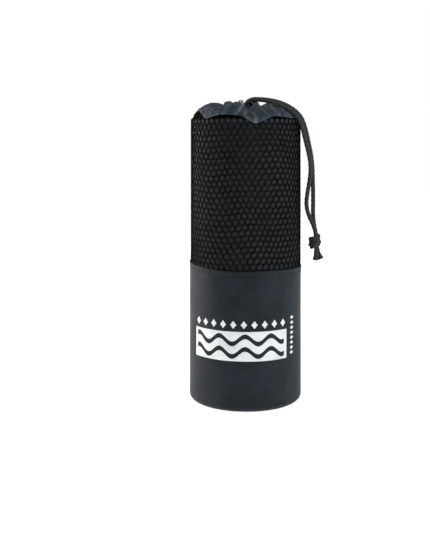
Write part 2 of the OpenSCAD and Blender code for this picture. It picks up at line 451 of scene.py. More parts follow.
CORD_R, KNOT_CORD_R, TAIL_R, RUN_R = 1.46, 1.22, 1.42, 1.42
FRONT_ROUTE = [
    [-0.2, -22, 203.8], [0.8, -22.1, 205.2], [2.1, -22.3, 206.3], [3.6, -22.6, 207], [5.6, -22.9, 207.3],
    [8.8, -23.2, 207.3], [12.4, -23.3, 206.9], [17, -23, 206.1], [22, -22.2, 204.6], [26.6, -21.4, 202.7],
    [30.7, -20.5, 200.2], [34.1, -19.4, 197.1], [36.6, -17.9, 193.2], [38.1, -16.1, 188.6],
    [39.5, -14.2, 183.4], [41.1, -12.2, 177.6], [42.6, -10.4, 172], [43.8, -8.9, 166.2], [44.2, -8, 160],
    [43.6, -7.7, 153], [42.5, -7.7, 146], [41.7, -7.7, 139], [42.2, -7.7, 133.4], [44, -7.7, 128],
    [46.2, -7.7, 123.2], [47.7, -7.7, 119], [48.1, -7.7, 117], [48.1, -7.7, 115.4]]
BACK_ROUTE = [
    [-0.2, -18.7, 204.1], [0.8, -18.8, 205.5], [2.1, -18.9, 206.7], [3.6, -19.1, 207.4], [5.6, -19.4, 207.8],
    [8.4, -19.7, 207.8], [12.6, -19.7, 207.5], [17.6, -19.3, 206.8], [22.8, -18.5, 205.5], [28, -17.6, 203.3],
    [32.7, -16.5, 200.3], [36.3, -15.1, 196.8], [38.8, -13.4, 192.4], [40.6, -11.5, 187], [42.1, -9.6, 181.4],
    [43.5, -7.7, 175.6], [44.8, -6, 169.6], [45.6, -4.8, 163.6], [46, -4.2, 157.6], [46.2, -4.1, 151.6],
    [46.4, -4.1, 145.6], [46.5, -4.1, 138.6], [46.5, -4.1, 132], [46.9, -4.1, 126], [47.8, -4.1, 120.6],
    [48.5, -4.1, 117], [48.5, -4.1, 115.4]]
TAIL_1 = [[48.5, -7.4, 104.8], [48.5, -7.4, 103.6], [48.5, -7.4, 101], [48.2, -7.4, 98.7]]
TAIL_2 = [[50.2, -4.2, 104.7], [50.3, -4.2, 103.6], [51.2, -4.3, 101.4], [52.2, -4.4, 99.2]]
KNOT = np.array([48.2, -5.9, 110.1])


def braid_relief(amount):
    def relief(a, s):
        on = 2 * PI * s / BRAID_PITCH
        return amount * (np.maximum(np.sin(4 * a + on), np.sin(4 * a - on)) - 0.45)
    return relief


def strand(name, route):
    """A strand that hangs from the casing, and its path."""
    path = spline(route, 0.45)
    obj = make(name, [tube(path, CORD_R, 24, braid_relief(0.09))], [CORD])
    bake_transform(obj)
    return obj, path


def knot_strand(height, phase, reach, top, bottom):
    """One strand of the overhand knot: down through the middle, round the outside, and down again."""
    turns, middle, half_height = 1.6, 1.05, 4.25
    a = np.linspace(0, 2 * PI * turns, 32) + phase
    up = np.linspace(-3.2, 3.2, 32) + height
    r = reach - 0.75 * ((up - middle) / half_height) ** 2
    around = np.stack([r * np.sin(a) - 0.5, -r * np.cos(a), up], -1)
    start, end = around[0], around[-1]
    lead = [top, [top[0] * 0.8, top[1] * 0.6, 3.4], [0, top[1] * 0.3, 0.8],
            [start[0] * 0.35, start[1] * 0.35, -1.9 + height * 0.6]]
    out = [[end[0] * 0.45, end[1] * 0.45, 1.8 + height * 0.5], [bottom[0] * 0.3, bottom[1] * 0.3, -0.6],
           [bottom[0] * 0.85, bottom[1] * 0.85, -3.6], bottom]
    return np.vstack([lead, around, out]) + KNOT


def tail(name, route, seed):
    """A cut end: the braid flares out, and short fibres stand in its rim."""
    r = np.random.RandomState(seed)
    path = spline(route, 0.35)
    radius = TAIL_R + 0.46 * smooth((np.linspace(0, 1, len(path)) - 0.3) / 0.6)
    parts = [tube(path, radius, 24, braid_relief(0.09))]
    t, u, w = frames(path)
    rim = 1.78
    for _ in range(70):
        a, out = r.uniform(0, 2 * PI), rim * math.sqrt(r.uniform(0.05, 1))
        spoke = math.cos(a) * u[-1] + math.sin(a) * w[-1]
        way = t[-1] + spoke * r.uniform(-0.1, 0.2) * out / rim
        fibre = path[-1] + spoke * out + way * np.linspace(-0.7, r.uniform(0.15, 0.4), 4)[:, None]
        parts.append(tube(fibre, np.array([0.17, 0.16, 0.13, 0.05]), 6, which=1))
    return make(name, parts, [CORD, CUT])


cord_front, front_path = strand("cord_front", FRONT_ROUTE)
cord_back, back_path = strand("cord_back", BACK_ROUTE)
knot = make("knot", [tube(spline(knot_strand(*turn), 0.4), KNOT_CORD_R, 20, braid_relief(0.08)) for turn in (
    (0.15, -1.92, 2.85, [-0.1, -1.8, 5.35], [0.3, -1.5, -5.3]),
    (2.15, -1.57, 3.3, [0.3, 1.8, 5.35], [2.0, 1.7, -5.3]))], [CORD])
tail_1 = tail("cord_tail_front", TAIL_1, 3)
tail_2 = tail("cord_tail_back", TAIL_2, 4)
stands_for(cord_front, "drawcord_front")
stands_for(cord_back, "drawcord_back")
stands_for(knot, "cord_knot", "pouch")
stands_for(tail_1, "cord_tail_1", "pouch")
stands_for(tail_2, "cord_tail_2", "pouch")


# Casing: seven tabs of one gathered ring. Each is shaped so that the ring is whole when the mouth is open,
# and is folded inwards over the shoulder from there, which is how its pleats arise.

TABS = 7
STEP = 2 * PI / TABS
EXIT = math.radians(4.5)
HINGE_R, HINGE_Z = 37.6, 195.4
OPEN = math.radians(next(j for j in frame["joints"] if j["name"] == "mouth_open")["range_deg"][1])
BLEND_Z0, BLEND_Z1 = 194.6, 200.6
ARC_C, ARC_R = np.array([19.617, 184.394]), 21.574
SHOULDER_Z = 195.2
SHOULDER = math.asin((SHOULDER_Z - ARC_C[1]) / ARC_R)
RING = np.array([20.5, 203.5])
TUNNEL = 2.35
CASING_LEN = ARC_R * (math.radians(87.6) - SHOULDER)


def swung(a, b, w):
    """Distances out from and above a tab's hinge, turned inwards by w times the full opening."""
    c, s = np.cos(w * OPEN), np.sin(w * OPEN)
    return a * c - b * s, a * s + b * c


def turned_in(v, centre, w):
    """Points turned inwards about a tab's hinge by w times the full opening."""
    out = np.array([math.sin(centre), -math.cos(centre), 0.0])
    a = v @ out - HINGE_R
    na, nb = swung(a, v[..., 2] - HINGE_Z, w)
    moved = v + (na - a)[..., None] * out
    moved[..., 2] = nb + HINGE_Z
    return moved


def weight(z):
    return smooth((z - BLEND_Z0) / (BLEND_Z1 - BLEND_Z0))


def closed(v, centre):
    """Where points of the open ring are when the mouth is drawn in."""
    lo, hi = np.zeros(v.shape[:-1]), np.ones(v.shape[:-1])
    for _ in range(34):
        mid = (lo + hi) / 2
        up = weight(turned_in(v, centre, mid)[..., 2]) > mid
        lo, hi = np.where(up, mid, lo), np.where(up, hi, mid)
    return turned_in(v, centre, np.where(lo > 0.999999, 1.0, (lo + hi) / 2))


def opened_profile(r, z):
    """Radius and height in the open ring of a point of the drawn-in outline."""
    a, b = swung(r - HINGE_R, z - HINGE_Z, -weight(z))
    return a + HINGE_R, b + HINGE_Z


# The casing's scalloped lower edge, as (bearing in degrees, height).
HEM = np.array([
    (-180, 195.5), (-160, 193.4), (-141, 197.3), (-121, 194.2), (-106, 199.0), (-92, 200.6), (-76, 200.9),
    (-64, 200.4), (-56, 199.4), (-50, 197.0), (-45, 195.1), (-41, 195.2), (-34, 196.8), (-27, 197.6),
    (-15, 197.4), (-6, 197.1), (-1, 195.6), (4, 193.0), (9, 191.3), (14, 192.2), (20, 194.2), (27, 196.2),
    (33, 196.6), (42, 196.2), (52, 195.7), (68, 195.6), (85, 195.0), (104, 193.4), (125, 196.9), (144, 197.2),
    (162, 193.8), (180, 195.5)])


def hem_z(bearing):
    """Height of the casing's lower edge, with its corners rounded."""
    b = np.degrees(bearing)
    near = ((-2.2, 0.12), (-1.1, 0.22), (0, 0.32), (1.1, 0.22), (2.2, 0.12))
    return sum(share * np.interp(wrap(b + d), *HEM.T) for d, share in near)


def above_shoulder(z):
    """Distance along the casing's outline from the shoulder up to a height near the hem."""
    over = ARC_R * (np.arcsin(np.clip((z - ARC_C[1]) / ARC_R, -1, 1)) - SHOULDER)
    return np.where(z > SHOULDER_Z, over, z - SHOULDER_Z)


def outline(s, inset):
    """Drawn-in outline at distance s from the shoulder, inset from the cloth's outside."""
    a = SHOULDER + np.maximum(s, 0) / ARC_R
    flared = ARC_R * math.cos(SHOULDER) + 0.32 * smooth(-s / 3.0) - inset
    r = ARC_C[0] + np.where(s < 0, flared, (ARC_R - inset) * np.cos(a))
    z = np.where(s < 0, SHOULDER_Z + s, ARC_C[1] + (ARC_R - inset) * np.sin(a))
    return r, z


# Where the rim lies higher or lower than the plain ring: (by, at a bearing in degrees, half width).
RIM_BUMPS = ((-2.9, 36, 27), (-0.9, 60, 22), (-0.2, 6, 9), (-1.7, -22, 6), (0.5, -33, 8), (0.8, -52, 9),
             (-0.5, -44, 4), (0.35, -9, 8), (-1.6, 155, 7), (0.9, 126, 30), (0.3, -80, 24), (-0.7, -118, 14),
             (1.1, 173, 11))


def rim_shift(bearing):
    return sum(height * bump(bearing, at, half) for height, at, half in RIM_BUMPS)


def tuck(theta, s):
    """How far the cloth is drawn in where two tabs meet on the shoulder."""
    near_edge = smooth((np.abs(theta) - math.radians(12)) / math.radians(11))
    return -1.7 * np.exp(-((s - 5.5) / 3.2) ** 2) * near_edge


def tab_profile(kind, t, low):
    """Radius, height, distance from the shoulder and place on the cloth of one line of points along a tab."""
    flat = 0 * low
    if kind == "outside":
        s = low + t * (CASING_LEN - low)
        rr, zz = outline(s, 0.22 * (1 - smooth(t / 0.03)))
        # The seam between the tunnel and the rest pulls a shallow groove.
        groove = 0.42 * np.exp(-((s - (CASING_LEN - 4.6)) / 0.75) ** 2)
        a = SHOULDER + s / ARC_R
        return rr - groove * np.cos(a), zz - groove * np.sin(a), s, s
    if kind == "tunnel":
        a = math.radians(90 + 180 * t)
        rr, zz = RING[0] + TUNNEL * math.cos(a), RING[1] + TUNNEL * math.sin(a)
        return rr + flat, zz + flat, CASING_LEN + flat, CASING_LEN + t * PI * TUNNEL + flat
    if kind == "core":
        return RING[0] + flat, RING[1] + flat, CASING_LEN + flat, flat
    s = low + t * (CASING_LEN - 3.6 - low)
    rr, zz = outline(s, 0.48)
    reach = smooth((t - 0.80) / 0.20)
    rr = rr * (1 - reach) + (RING[0] + 1.0) * reach
    zz = zz * (1 - reach) + (RING[1] - TUNNEL + 0.05) * reach
    return rr, zz, CASING_LEN * reach + s * (1 - reach), 2 * CASING_LEN + PI * TUNNEL - s


OUTSIDE_T = np.r_[0, 0.012, 0.03, np.linspace(0.06, 1, 40)]
TAB_LINES = ([("outside", t) for t in OUTSIDE_T] + [("tunnel", t) for t in np.linspace(0, 1, 16)[1:-1]]
             + [("lining", t) for t in np.linspace(1, 0, 26)] + [("core", 0.5)])


def tab(k):
    """Rows of points of one tab of the casing, its part for make(), and the middle of its tunnel."""
    centre = EXIT + (k - 0.5) * STEP
    n = 72
    theta = np.linspace(-STEP / 2, STEP / 2, n + 1)
    side, arc = np.abs(theta), theta * 38
    low = above_shoulder(hem_z(centre + theta))
    phases = np.random.RandomState(40 + k).uniform(0, 2 * PI, 6)
    rows, lay = [], []
    for kind, t in TAB_LINES:
        rr, zz, s, v = tab_profile(kind, t, low)
        ro, zo = opened_profile(rr, zz)
        # Where a neighbour covers this tab once the mouth is drawn in.
        cover = np.arcsin(np.minimum(1, rr * math.tan(STEP / 2) / ro))
        valley = smooth((side - cover + math.radians(4.5)) / math.radians(8.5))
        valley = valley * smooth((s - 3) / (CASING_LEN - 3))
        shift = tuck(theta, s) - 2.5 * valley
        fold = (np.sin(arc / 1.55 + phases[0] + 0.05 * s) * 0.30 + np.sin(arc / 0.92 + phases[1]) * 0.17
                + np.sin(arc / 2.9 + phases[2] + 0.1 * s) * 0.34)
        shift = shift + 1.5 * fold * smooth((s - 2.5) / 14)
        shift = shift + 0.16 * np.sin(arc / 4.1 + phases[3] + s * 0.22) * smooth((s - 1) / 5)
        if k == 2:
            shift = shift - 0.9 * (1 - smooth((theta + cover) / np.radians(16))) * smooth((s - 2) / 7)
        # The cord's exit: the first and last tabs end short of each other at the tunnel.
        short = smooth((s - 11.5) / 6)
        end = STEP / 2 * (1 - short) + np.radians(12.4) * short
        th = theta
        if k == 1:
            th = np.where(theta < 0, theta * end / (STEP / 2), theta)
            shift = np.where(theta < 0, shift + 2.0 * valley * short, shift)
            # Its edge lies on its left neighbour's, as one pleat over the other.
            proud = smooth((-theta - cover + math.radians(7)) / math.radians(5))
            shift = shift + 0.45 * proud * smooth((s - 1) / 4)
        if k == TABS:
            # The lap at the left of the front: a raised edge that leans inwards on its way down.
            edge = -cover * (0.26 + 0.28 * smooth((s - 11) / 10))
            past = (theta - edge) / math.radians(1)
            lap = np.where(past > 0, np.exp(-past / 4.5), np.exp(-(past / 0.8) ** 2))
            shift = shift + 1.5 * lap * smooth((s - 2) / 5)
            shift = shift - 1.3 * smooth(-past / 1.8) * (1 - smooth((-past - 6) / 8)) * smooth((s - 3) / 6)
            th = np.where(theta > 0, theta * end / (STEP / 2), theta)
            shift = np.where(theta > 0, shift + 1.5 * valley * short, shift)
            under = smooth((theta - cover + math.radians(5)) / math.radians(4))
            shift = shift - 0.9 * under * smooth((s - 1) / 4)
        p = closed(round_point(ro + shift, centre + th, zo), centre)
        bearing = np.degrees(np.arctan2(p[:, 0], -p[:, 1]))
        p[:, 2] += rim_shift(bearing) * smooth((s - 9) / (CASING_LEN - 9))
        if kind != "core":
            rows.append(p)
            lay.append(pairs((centre + th) * 38, v))
    at_exit = {1: theta < 0, TABS: theta > 0}.get(k, False)
    core = p[(side < cover * 0.97) | at_exit]
    if k == TABS:
        # Past the exit the run goes on to the strands. Drawn in, this stretch lies under the first tab.
        far = np.radians(np.linspace(13.5, 35.0, 16))
        rise = smooth((far - far[0]) / np.radians(20))
        more = closed(round_point(ro[-1] + shift[-1] * (1 - rise), centre + far, zo[-1] + 2.6 * rise), centre)
        more[:, 2] += rim_shift(bearing[-1]) * (1 - rise)
        core = np.vstack([core, more])
    lining = np.arange(len(rows)) >= len(rows) - 26
    which = np.repeat((lining & np.roll(lining, -1)).astype(int), n)
    rows = np.array(rows)
    return rows, (rows, grid_faces(len(rows), n + 1, loop_rows=True), np.array(lay), which), core


def stitch_line(rows, row_at, count, radius, lift):
    """Short stitches along one row of a tab's outer cloth."""
    line = rows[row_at]
    normal = np.cross(np.gradient(line, axis=0), rows[row_at + 1] - rows[row_at - 1])
    normal /= np.linalg.norm(normal, axis=1)[:, None] + 1e-9
    s = distance(line)
    up = np.array([-0.12, 0.12, lift, lift, 0.12, -0.12])[:, None]
    parts = []
    for k in range(count):
        at = np.linspace((k + 0.14) / count * s[-1], (k + 0.86) / count * s[-1], 6)
        parts.append(tube(along(at, s, line) + along(at, s, normal) * up, radius, 6, which=2))
    return parts


# Each casing piece is one mesh: outside and lining share their edges, and the stitches lie on top.
casing, cores = [], []
for k in range(1, TABS + 1):
    rows, part, core = tab(k)
    tunnel_row = int(np.argmin(np.abs(OUTSIDE_T - 0.79)))
    stitches = stitch_line(rows, 6, 17, 0.17, 0.2) + stitch_line(rows, tunnel_row, 15, 0.16, 0.16)
    piece = make(f"casing_{k}", [part] + stitches, [CASING, LINING, THREAD])
    stands_for(piece, f"gather_{k}")
    casing.append(piece)
    cores.append(core)

# The drawcord inside the tunnels, seen at the exit.
for k, core in enumerate(cores, 1):
    run = make(f"cord_in_casing_{k}", [tube(spline(core[::3], 0.5), RUN_R, 16, braid_relief(0.08))], [CORD])
    stands_for(run, f"drawcord_run_{k}", f"mouth_{k}")


# Net: every hole and strand is real. The bands above the shoulder belong to the tabs.

CELLS, ROWS_NET = 56, 28
NET_Z0, NET_Z1 = 91.6, 195.0
PITCH_U = 2 * PI / CELLS
PITCH_V = (NET_Z1 - NET_Z0) / ROWS_NET
# How far from the cell's rim (1) to its hole (0) each ring of a cell's points lies, and its depth in the net.
CELL_RINGS = ((1.0, 0.0), (0.52, 0.06), (0.16, 0.22), (0.0, 0.5), (0.16, 0.8), (1.0, 0.97))


def hexagon(n_side):
    """Outline of one cell, in shares of the pitch each way, with n_side points on each side."""
    corners = [(0.5, -1 / 6), (0.5, 1 / 6), (0, 2 / 3), (-0.5, 1 / 6), (-0.5, -1 / 6), (0, -2 / 3)]
    points = []
    for a, b in zip(corners, corners[1:] + corners[:1]):
        for t in np.linspace(0, 1, n_side + 1)[:-1]:
            points.append((a[0] + (b[0] - a[0]) * t, a[1] + (b[1] - a[1]) * t))
    return np.array(points)


def net_cells(columns, rows, seed):
    """(u, v, depth) of those cells' points: u in columns, v in rows, depth 0 outside to 1 inside."""
    r = np.random.RandomState(seed)
    outer = hexagon(2)
    m = len(outer)
    around = np.arange(m)
    ang = np.arctan2(outer[:, 1] * 0.86, outer[:, 0])
    base = np.stack([np.cos(ang), np.sin(ang)], -1)
    pts, faces = [], []
    for j in rows:
        for i in columns:
            size = 0.395 + 0.02 * r.uniform(-1, 1)
            tilt = 0.10 * math.sin(i * 0.9 + j * 0.37) + 0.06 * r.uniform(-1, 1)
            hole = base * [size * 1.02, size * 1.16] * (1 + 0.05 * np.cos(4 * ang + 0.5))[:, None]
            hole[:, 0] += tilt * hole[:, 1] * 0.6
            start = len(pts) * m
            for share, depth in CELL_RINGS:
                ring = hole * (1 - share) + outer * share + [i + 0.5 * (j % 2), j + 0.5]
                pts.append(np.c_[ring, np.full(m, depth)])
            for q in range(len(CELL_RINGS) - 1):
                a, b = start + q * m + around, start + q * m + (around + 1) % m
                faces.append(np.stack([a, b, b + m, a + m], -1))
    pts = np.concatenate(pts)
    # Real net never hangs quite square.
    u, v = pts[:, 0], pts[:, 1]
    turn = u * PITCH_U
    wave = 0.16 * np.sin(v * 0.31 + 2.0 * np.sin(turn * 2)) + 0.10 * np.sin(turn * 5 + v * 0.23)
    lift = 0.20 * np.sin(turn * 3 + 0.8) + 0.10 * np.sin(turn * 7 + v * 0.2)
    fade = smooth((ROWS_NET - v) / 6) * smooth(v / 4)
    return np.stack([u + wave * fade, v + lift * fade, pts[:, 2]], -1), np.concatenate(faces)


pts, faces = net_cells(range(CELLS), range(ROWS_NET), 11)
angle = EXIT + pts[:, 0] * PITCH_U
z = NET_Z0 + pts[:, 1] * PITCH_V
radius = wall_r(z) - 0.16 - 0.8 * pts[:, 2]
radius = radius + 0.14 * np.sin(angle * 3 + z * 0.03) * smooth((z - 93) / 8) * smooth((193 - z) / 8)
radius = radius - 0.12 * smooth((z - 96) / 10) * smooth((191 - z) / 8)
NET_LAY = np.array([PITCH_U * 38.3, PITCH_V, 1])
net_wall = make("net_wall", [(round_point(radius, angle, z), faces, pts * NET_LAY, 0)], [NET])
stands_for(net_wall, "net_sleeve", "pouch")

for k, tab_piece in enumerate(casing, 1):
    centre = EXIT + (k - 0.5) * STEP
    first = (k - 1) * CELLS // TABS
    pts, faces = net_cells(range(first, first + CELLS // TABS), range(ROWS_NET, ROWS_NET + 3), 30 + k)
    angle = EXIT + pts[:, 0] * PITCH_U
    s = (pts[:, 1] - ROWS_NET) * PITCH_V
    rr, zz = outline(s, 0.95 + 0.5 * pts[:, 2])
    under = smooth(s / 1.5)
    rr = rr * under + (wall_r(NET_Z1 + s) - 0.16 - 0.8 * pts[:, 2]) * (1 - under)
    zz = np.where(s > 0, zz - 0.2 * (1 - under), NET_Z1 + s)
    ro, zo = opened_profile(rr, zz)
    cells = closed(round_point(ro + tuck(angle - centre, s), angle, zo), centre)
    # Behind the cells the net's edge is turned in and lies double, so nothing shows through.
    s = np.linspace(0.15, 8.4, 14)
    s = np.r_[s, s[::-1]][:, None]
    ro, zo = opened_profile(*outline(s, np.repeat((1.55, 1.85), 14)[:, None]))
    angle = centre + np.linspace(-STEP / 2, STEP / 2, 25)
    v = closed(round_point(ro + tuck(angle - centre, s), angle, zo), centre)
    turned = (v, grid_faces(28, 25, loop_rows=True), pairs(angle * 37, s), 0)
    net_top = make(f"net_top_{k}", [(cells, faces, (pts * NET_LAY)[:, :2], 0), turned], [NET])
    x, y = math.sin(centre) * HINGE_R * MM, -math.cos(centre) * HINGE_R * MM
    for piece in (tab_piece, net_top):
        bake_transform(piece)


# Sleeve: woven tube with a rounded foot, a turned top edge, and faint folds.

FOLDS = (3, 5, 7, 11, 16)
FOLD_HEIGHTS = (0.16, 0.13, 0.09, 0.06, 0.035)
fold_phases = rng.uniform(0, 2 * PI, 5)
fold_twists = rng.uniform(-0.02, 0.02, 5)
SEAM_Z = 90.5


def sleeve_shift(angle, z):
    """How far the sleeve's cloth stands out from its plain cone."""
    d = sum(height * np.cos(n * angle + phase + twist * z)
            for n, height, phase, twist in zip(FOLDS, FOLD_HEIGHTS, fold_phases, fold_twists))
    d = d * (0.55 + 0.45 * np.sin(z * 0.05 + 1.0))
    d = d + 0.10 * np.exp(-np.maximum(93 - z, 0) / 5) * np.cos(46 * angle + 1.3 * np.sin(angle * 5))
    d = d + 0.13 * np.exp(-np.maximum(z, 0) / 6) * np.cos(38 * angle + 1.7 * np.sin(angle * 3))
    d = d + 0.30 * smooth((z - 90.9) / 0.6) - 0.22 * np.exp(-((z - SEAM_Z) / 0.55) ** 2)
    return d * smooth((z + 0.2) / 3)


def waist_dip(angle, z):
    """How much higher the sleeve's top edge lies than a level seam: most at the left side."""
    left = np.cos((angle + PI / 2) / 2) ** 2
    return (1.5 + 0.3 * np.sin(3 * angle) + 2.2 * left ** 4) * smooth((z - 55) / 35)


def foot(r, first, last, count):
    turn = np.radians(np.linspace(first, last, count))
    return [(35.2 + r * math.cos(a), 4 + r * math.sin(a)) for a in turn]


angle = PI + np.arange(337) / 336 * 2 * PI
wall_z = np.r_[np.linspace(5.5, 89, 62), 89.6, 90.1, 90.5, 90.9, 91.3, 91.8, 92.4, 92.9]
rows = [(33.9, 0.12)] + foot(4, -90, 0, 12) + [(wall_r(z), z) for z in wall_z]
rows += [(wall_r(93) - 0.14, 93.18), (wall_r(93) - 0.42, 93.25), (wall_r(93) - 0.7, 93.1)]
rows += [(wall_r(z) - 0.8, z) for z in np.linspace(92, 5, 30)] + foot(3.2, 0, -90, 7) + [(33.9, 0.8)]
rows = np.array(rows)
rr, zz = rows[:, :1], rows[:, 1:]
v = round_point(rr + sleeve_shift(angle, zz), angle, zz + waist_dip(angle, zz))
lay = pairs(angle * 38.8, distance(rows)[:, None])
sleeve = make("sleeve_wall", [(v, grid_faces(len(rows), len(angle), loop_rows=True), lay, 0)], [SLEEVE])
outward(sleeve)
stands_for(sleeve, "lower_sleeve", "pouch")


# Base: a round panel that bellies down a little between its seam and the floor, with a stitched rim.
ra = np.r_[0.6, np.linspace(2, 33, 21), 33.8, 34.4, 34.9, 35.3][:, None]
an = np.arange(145) / 144 * 2 * PI
dip = 0.22 - 0.10 * smooth((ra - 28) / 6) * (1 + 0.4 * np.cos(36 * an)) + 0.05 * np.sin(ra * 0.4 + 2 * an)
dip = np.where(ra > 34.6, 0.35, dip)
v = np.concatenate([round_point(ra, an, dip), round_point(ra[::-1], an, dip[::-1] + 0.62)])
base = make("base_panel", [(v, grid_faces(len(v), len(an), loop_rows=True), v[..., :2], 0)], [SLEEVE])
outward(base)
stands_for(base, "base_disc", "pouch")


# Tapes and seam allowances inside the pouch.

BAND_T = 0.5
SEAM = math.radians(176), math.radians(184)
ROUND = SEAM[1] - 2 * PI + 0.01, SEAM[0] - 0.01


def inner_r(z):
    """Radius of the sleeve's and the net's inside."""
    return wall_r(z) - 0.82


def band(name, z0, z1, a0, a1, wave, stitches):
    """A strip of tape on the inside of the wall, with soft edges and its rows of stitches."""
    n = max(8, int((a1 - a0) / math.radians(2.0)))
    ang = np.linspace(a0, a1, n + 1)
    z = np.r_[z0, np.linspace(z0 + 0.25, z1 - 0.25, 8), z1]
    soft = np.r_[0.18, np.zeros(8), 0.18]
    z = np.r_[z, z[::-1]][:, None]
    inset = np.r_[soft, BAND_T - soft][:, None]
    wob = wave * np.sin(ang * 23 + z * 0.7) * (inset > BAND_T / 2)
    v = round_point(inner_r(z) - inset - wob, ang, z)
    parts = [(v, grid_faces(len(z), n + 1, loop_rows=True), pairs(ang * 37, z + inset), 0)]
    count = max(3, int(37 * (a1 - a0) / 2.6))
    up = np.array([-0.1, 0.1, 0.14, 0.1, -0.1])
    for stitch_z in stitches:
        r = inner_r(stitch_z) - BAND_T - wave - up
        for k in range(count):
            b = a0 + (a1 - a0) * (k + np.linspace(0.15, 0.85, 5)) / count
            parts.append(tube(round_point(r, b, stitch_z), 0.16, 6, which=1))
    return make(name, parts, [TAPE, THREAD])


for name, z0, z1, ends, wave, stitches, node, slot in (
        ("waist_band", 89.0, 97.0, ROUND, 0.08, (90.5, 95.4), "waist_tape", "seam_tape"),
        ("mouth_band", 190.5, 194.9, ROUND, 0.08, (192.6,), "mouth_tape", "seam_tape"),
        ("sleeve_seam_fold", 6.0, 88.4, SEAM, 0.05, (), "sleeve_side_seam", "woven_cloth"),
        ("net_seam_fold", 97.5, 189.9, SEAM, 0.05, (), "net_side_seam", "net")):
    stands_for(band(name, z0, z1, *ends, wave, stitches), node, "pouch")

# The tape that binds the seam between the base and the sleeve.
ang = np.linspace(0, 2 * PI, 181)
prof = np.array([(35.1, 0.95), (34.8, 1.32), (34.2, 1.42), (33.8, 1.36), (33.5, 1.15), (33.4, 0.92),
                 (34.2, 0.86)])
wob = 0.05 * np.sin(ang * 40) * np.array([0, 1, 1, 1, 1, 0, 0])[:, None]
v = round_point(prof[:, :1], ang, prof[:, 1:] + wob)
parts = [(v, grid_faces(7, 181, loop_rows=True), pairs(ang * 35, np.arange(7)[:, None] * 0.5), 0)]
for k in range(84):
    b = (k + np.linspace(0.15, 0.85, 5)) / 84 * 2 * PI
    parts.append(tube(round_point(34.1, b, 1.42 + np.array([-0.1, 0.06, 0.1, 0.06, -0.1])), 0.15, 6, which=1))
stands_for(make("base_binding", parts, [TAPE, THREAD]), "base_seam_binding", "pouch")

# Waist stitches on the outside.
parts = []
for k in range(92):
    b = PI + (k + np.linspace(0.14, 0.86, 7)) / 92 * 2 * PI
    r = wall_r(SEAM_Z) + sleeve_shift(b, SEAM_Z) + np.array([-0.16, 0.1, 0.2, 0.22, 0.2, 0.1, -0.16])
    parts.append(tube(round_point(r, b, SEAM_Z + waist_dip(b, SEAM_Z)), 0.24, 8))
stands_for(make("waist_stitches", parts, [THREAD]), "waist_stitching", "pouch")


# Print: a generic panel with two wavy bands left open, a row of diamonds above it and a column of small ones
# at its right.

PRINT_A0, PRINT_A1 = math.radians(-58.5), math.radians(45.6)
PRINT_Z0, PRINT_Z1 = 35.0, 54.8
INK_T, INK_RIM_T = 0.12, 0.03


def patch(a0, a1, low, high, na, nz):
    """A patch of ink on the sleeve between two lines, sunk a little at its rim."""
    a = np.linspace(a0, a1, na + 1)
    t = np.linspace(0, 1, nz + 1)[:, None]
    z = low(a) * (1 - t) + high(a) * t
    lift = np.full(z.shape, INK_RIM_T)
    lift[1:-1, 1:-1] = INK_T
    v = round_point(wall_r(z) + sleeve_shift(a, z) + lift, a, z + waist_dip(a, z))
    return v, grid_faces(nz + 1, na + 1), pairs(a * 38.8, z), 0


def flat_line(z):
    return lambda a: np.full(a.shape, z)


def wave_line(z):
    return lambda a: z + 2.5 * np.sin((a - PRINT_A0) / (PRINT_A1 - PRINT_A0) * 2 * PI * 4)


def diamond(at, z, half_a, half_z):
    def edge(sign):
        return lambda a: z + sign * half_z * np.maximum(1 - np.abs(a - at) / half_a, 0.1)
    return patch(at - half_a, at + half_a, edge(-1), edge(1), 8, 4)


low, high = flat_line(PRINT_Z0), flat_line(PRINT_Z1)
inner_a0, inner_a1 = PRINT_A0 + math.radians(3.6), PRINT_A1 - math.radians(3.6)
parts = [patch(PRINT_A0, inner_a0, low, high, 5, 16), patch(inner_a1, PRINT_A1, low, high, 5, 16)]
lines = [low]
for middle in (40.7, 49.1):
    lines += [wave_line(middle - 1.6), wave_line(middle + 1.6)]
lines.append(high)
for below, above in zip(lines[::2], lines[1::2]):
    parts.append(patch(inner_a0, inner_a1, below, above, 110, 5))
panel = make("print_panel", parts, [INK])

parts = []
for k in range(10):
    parts.append(diamond(PRINT_A0 + (PRINT_A1 - PRINT_A0) * (k + 0.5) / 10, 59.3, math.radians(3.0), 2.6))
for k in range(8):
    parts.append(diamond(math.radians(54.1), 37.8 + k * 3.4, math.radians(2.9), 1.3))
marks = make("print_marks", parts, [INK])
for piece in (panel, marks):
    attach(piece, "pouch")


# Towel: one sheet, folded in four lengthwise and rolled up.

SHEET_T, LAYER, TURN = 0.58, 0.655, 2.62
TOWEL_Z0, TOWEL_Z1, TOWEL_R = 1.75, 191.45, 36.55
TOWEL_LEN, CORE_R, PER_TURN = 1520, 5.0, 52
END = math.radians(221)


def folded_line():
    """Section through the folded sheet, as (distance outwards, height): up, down, up and down again."""
    half = LAYER / 2
    line = []
    for j in range(4):
        side = 1 if j % 2 == 0 else -1
        zs = np.linspace(TOWEL_Z0 + half, TOWEL_Z1 - half, 10)[::side]
        line += [((j + 0.5) * LAYER, z) for z in zs]
        if j < 3:
            for a in np.radians(np.linspace(-90, 90, 7)[1:-1]):
                line.append(((j + 1) * LAYER + half * math.sin(a), zs[-1] + side * half * math.cos(a)))
    return np.array(line)


def climb(q):
    """Layers laid after q turns: each turn climbs onto the one below at the back, so the front is round."""
    return smooth((q % 1.0) / 0.34) + np.floor(q)


def rolled_length(radius):
    """Length of sheet rolled up at each step of a spiral."""
    return np.r_[0, np.cumsum((radius[1:] + radius[:-1]) / 2 + TURN / 2)] * 2 * PI / PER_TURN


